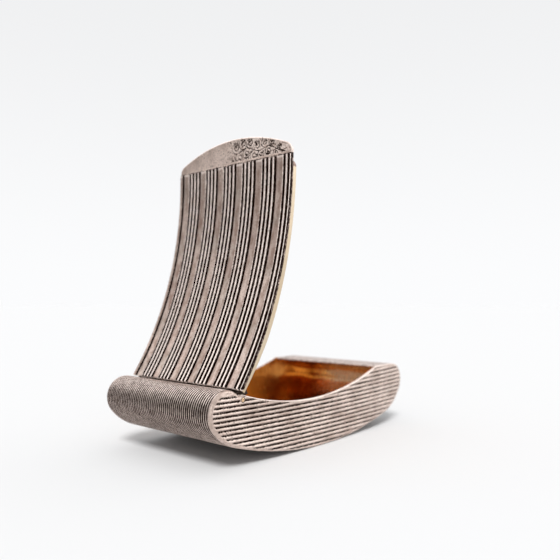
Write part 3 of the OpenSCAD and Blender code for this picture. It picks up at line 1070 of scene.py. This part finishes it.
def make_flanges():
    """Two side flanges, rounded at the tip and shallower by the hinge, and one across between their tips."""
    end = math.radians(arc_angle(LAND_X - FLANGE_SHORT) - LID_A0) * LID_R
    corner = FLANGE_CORNER
    round_tip = corner * np.sin(np.linspace(0, math.pi / 2, 10)[1:])
    s = np.r_[np.linspace(0, end - corner, 50), end - corner + round_tip]
    past = np.clip(s - (end - corner), 0, corner)
    depth = FLANGE_H - corner + np.sqrt(corner ** 2 - past ** 2)
    depth *= FLANGE_START + (1 - FLANGE_START) * np.minimum(s / FLANGE_RISE, 1)
    depth[-1] = max(depth[-1], FLANGE_TIP_H)
    inner = SEAM_Y - FLANGE_GAP
    side_flange("flange_near", s, depth, -inner, -inner + FLANGE_T, "lid_flange_near")
    side_flange("flange_far", s, depth, inner - FLANGE_T, inner, "lid_flange_far")
    y = np.linspace(-inner + FLANGE_T, inner - FLANGE_T, 12)
    soft = FLANGE_SOFT
    shape = [(0, 0), (0, FLANGE_H - soft), (soft * 0.3, FLANGE_H - soft * 0.3), (soft, FLANGE_H)]
    shape += [(FLANGE_T - soft, FLANGE_H), (FLANGE_T - soft * 0.3, FLANGE_H - soft * 0.3)]
    shape += [(FLANGE_T, FLANGE_H - soft), (FLANGE_T, 0)]
    points = [on_lid(np.array([end - FLANGE_T + a]), np.array([-b]), v)[0] for v in y for a, b in shape]
    marks = {"cavity": np.zeros(len(points)), "wear_and_sheen": np.zeros(len(points))}
    piece("flange_front", opened(np.array(points)), closed_strip(len(y), len(shape)), "lid",
          "lid_flange_front", [flange_gilt], marks)


def make_pin():
    """Pin with ringed ends and a small dimple, turned about Y."""
    profile = [(r, HALF_W + up) for r, up in PIN_END]
    profile = profile + [(r, -v) for r, v in reversed(profile)]
    n = PIN_SIDES
    points, faces, cavity = [], [], []
    for (r, v), shade in zip(profile, PIN_DARK + PIN_DARK[::-1]):
        if r == 0:
            points.append([PIN[0], v, PIN[1]])
            cavity.append(shade)
        else:
            c = PIN + r * unit(np.arange(n) * TURN / n)
            points += along_y(c, v).tolist()
            cavity += [shade] * n
    starts = [0]
    for r, _ in profile[:-1]:
        starts.append(starts[-1] + (1 if r == 0 else n))
    for k in range(len(profile) - 1):
        a, b = starts[k], starts[k + 1]
        for j in range(n):
            j2 = (j + 1) % n
            if profile[k][0] == 0:
                faces.append([a, b + j, b + j2])
            elif profile[k + 1][0] == 0:
                faces.append([a + j, b, a + j2])
            else:
                faces.append([a + j, b + j, b + j2, a + j2])
    marks = {"cavity": cavity, "wear_and_sheen": np.zeros(len(points))}
    piece("pin", points, faces, "base", "hinge_pin", [pin_brass], marks)


make_wrap()
make_wall("wall_near", -1, "side_wall_near")
make_wall("wall_far", 1, "side_wall_far")
make_lid()
make_thumb_piece()
make_flanges()
make_pin()

# The hidden hinge parts keep their CAD shapes, in a near-black silver that paints the shade of the gap under
# the lid
for node_name, node_obj in frame["nodes"].items():
    if "bearer" in node_name or "knuckle" in node_name:
        node_obj.data.materials.clear()
        node_obj.data.materials.append(hinge_silver)

# ----------------------------
# Floor, light and camera
# ----------------------------

# What the camera sees behind the floor: brightness at the horizon and above
BACKDROP_LOW = 0.985
BACKDROP_TOP = 0.88
BACKDROP_TINT = rgba(0.985, 0.99, 1.0)
# What lights the floor
ON_FLOOR = 0.62
SUN_AHEAD = (0.82, 0.55, -1.0)
SUN_POWER = 2.48
SUN_ANGLE = 17
# The tent that the metal reflects: brighter towards the top and one side, with two soft lamps,
# each as (direction, cosine at its edge, cosine where it is full, brightness)
TENT_LOW = 0.16
TENT_TOP = 0.9
TENT_SIDE = 1.2
TENT_RIGHT = (0.94, -0.34, 0.05)
LAMPS = [((0.05, 0.70, 0.71), 0.72, 0.93, 0.95), ((-0.80, -0.52, 0.30), 0.93, 0.985, 1.8)]
FLOOR = 0.8
FLOOR_HALF = 3.0
FLOOR_TINT = (1.0, 1.003, 1.008)


def make_floor():
    """Plain pale paper, with a very faint change of tint."""
    mesh = bpy.data.meshes.new("floor")
    bm = bmesh.new()
    bmesh.ops.create_grid(bm, x_segments=1, y_segments=1, size=FLOOR_HALF)
    bm.to_mesh(mesh)
    bm.free()
    obj = bpy.data.objects.new("floor", mesh)
    bpy.context.scene.collection.objects.link(obj)
    s = Shader("floor_paper")
    colour = s.mix(s.noise(3, 2.0), rgba(FLOOR, FLOOR, FLOOR), rgba(*(FLOOR * v for v in FLOOR_TINT)))
    mesh.materials.append(s.matt(colour))


def make_world():
    """Pale backdrop for the camera; for the metal a soft tent, brighter overhead and to the right."""
    world = bpy.data.worlds.new("studio")
    bpy.context.scene.world = world
    sky = Nodes(world)
    look = sky.add("ShaderNodeTexCoord").outputs["Generated"]
    height = sky.add("ShaderNodeSeparateXYZ", {0: look}).outputs[2]

    def towards(place):
        """Cosine of the angle between a ray and a direction."""
        return sky.add("ShaderNodeVectorMath", {0: look, 1: place}, operation="DOT_PRODUCT").outputs["Value"]

    def either(share, a, b):
        """Mix of two brightnesses."""
        return sky.add("ShaderNodeMix", {"Factor": share, 2: a, 3: b}, data_type="FLOAT").outputs[0]

    rise = sky.ramp(height, -0.05, 0.7, TENT_LOW, TENT_TOP)
    side = sky.ramp(towards(TENT_RIGHT), 0.1, 0.98, 0.0, TENT_SIDE)
    tent = sky.maths("ADD", rise, side)
    for place, edge, full, power in LAMPS:
        tent = sky.maths("ADD", tent, sky.ramp(towards(place), edge, full, 0.0, power))
    ray = sky.add("ShaderNodeLightPath").outputs
    backdrop = sky.ramp(height, 0.0, 0.5, BACKDROP_LOW, BACKDROP_TOP)
    strength = either(ray["Is Diffuse Ray"], tent, ON_FLOOR)
    strength = either(ray["Is Camera Ray"], strength, backdrop)
    background = {"Color": BACKDROP_TINT, "Strength": strength}
    sky.output("ShaderNodeOutputWorld", sky.add("ShaderNodeBackground", background))


def make_sun():
    """Very soft sun, which lights the floor and casts the shadow."""
    light = bpy.data.lights.new("overhead_soft", "SUN")
    light.energy = SUN_POWER
    light.angle = math.radians(SUN_ANGLE)
    obj = bpy.data.objects.new("overhead_soft", light)
    obj.rotation_euler = Vector(SUN_AHEAD).to_track_quat("-Z", "Y").to_euler()
    # The metal reflects the tent instead of the sun
    obj.visible_glossy = False
    bpy.context.scene.collection.objects.link(obj)


CAMERA_PLACE = Vector((-124.82, -103.72, 37.51)) * MM
CAMERA_YAW = 46.62
CAMERA_PITCH = -5.06
SENSOR = 36.0
LENS = 37.79
SHIFT = (0.0891, 0.1265)
FOCUS = 0.128
FSTOP = 20
NO_BLUR = 1000
CLIP = (0.005, 20)


def photo_only(target, path, value, otherwise):
    """Holds a camera value at the camera's own place, and another value when it is moved away."""
    curve = target.driver_add(path)
    curve.driver.type = "SCRIPTED"
    variable = curve.driver.variables.new()
    variable.name = "x"
    variable.targets[0].id = bpy.data.objects["camera"]
    variable.targets[0].data_path = "location[0]"
    curve.driver.expression = f"{value} if abs(x - {CAMERA_PLACE.x:.6f}) < 0.0005 else {otherwise}"


def make_camera():
    """The photograph's camera: off-centre in its own place, plain when it is moved elsewhere."""
    data = bpy.data.cameras.new("camera")
    camera = bpy.data.objects.new("camera", data)
    bpy.context.scene.collection.objects.link(camera)
    yaw, pitch = math.radians(CAMERA_YAW), math.radians(CAMERA_PITCH)
    ahead = Vector((math.sin(yaw) * math.cos(pitch), math.cos(yaw) * math.cos(pitch), math.sin(pitch)))
    camera.location = CAMERA_PLACE
    camera.rotation_euler = ahead.to_track_quat("-Z", "Y").to_euler()
    data.sensor_width = SENSOR
    data.lens = LENS
    data.clip_start, data.clip_end = CLIP
    data.dof.use_dof = True
    data.dof.focus_distance = FOCUS
    photo_only(data.dof, "aperture_fstop", FSTOP, NO_BLUR)
    photo_only(data, "shift_x", SHIFT[0], 0)
    photo_only(data, "shift_y", SHIFT[1], 0)
    bpy.context.scene.camera = camera


make_floor()
make_world()
make_sun()
make_camera()
bpy.context.scene.view_settings.view_transform = "Standard"
